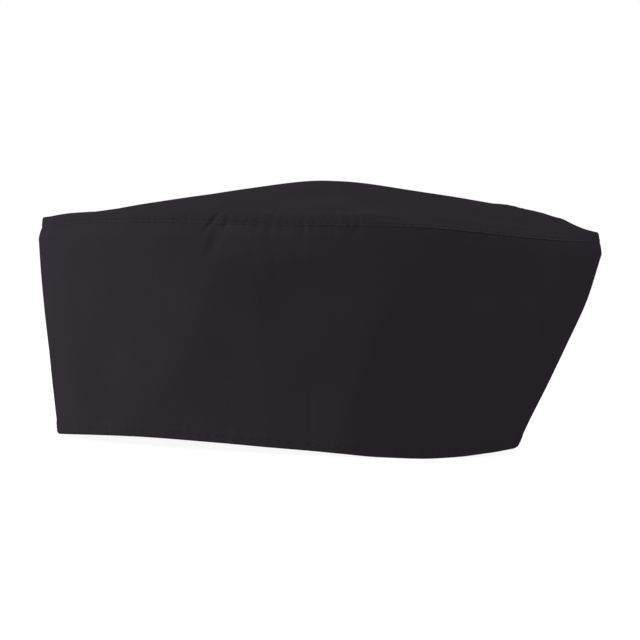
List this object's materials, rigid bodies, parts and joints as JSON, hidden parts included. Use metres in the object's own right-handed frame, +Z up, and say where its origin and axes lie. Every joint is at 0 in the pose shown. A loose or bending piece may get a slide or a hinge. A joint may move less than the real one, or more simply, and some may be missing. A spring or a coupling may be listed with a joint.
{
  "type": "chef skull cap",
  "caption": "Black cloth chef skull cap with a deep plain side band, a low domed crown panel and a stitched, turned-up hem; open below for the head.",
  "frame": {"origin": "on the surface that the hem stands on, under the middle of the cap's bounding box", "axes": "+X towards the back of the cap, -Y towards the side that the picture shows, +Z up"},
  "size_m": [0.2294, 0.2018, 0.1079],
  "materials": {
    "black_twill": "matte woven twill, near black with a slight violet cast"
  },
  "bodies": {
    "root": {"side_band": "black_twill", "crown_top": "black_twill"}
  },
  "joints": []
}
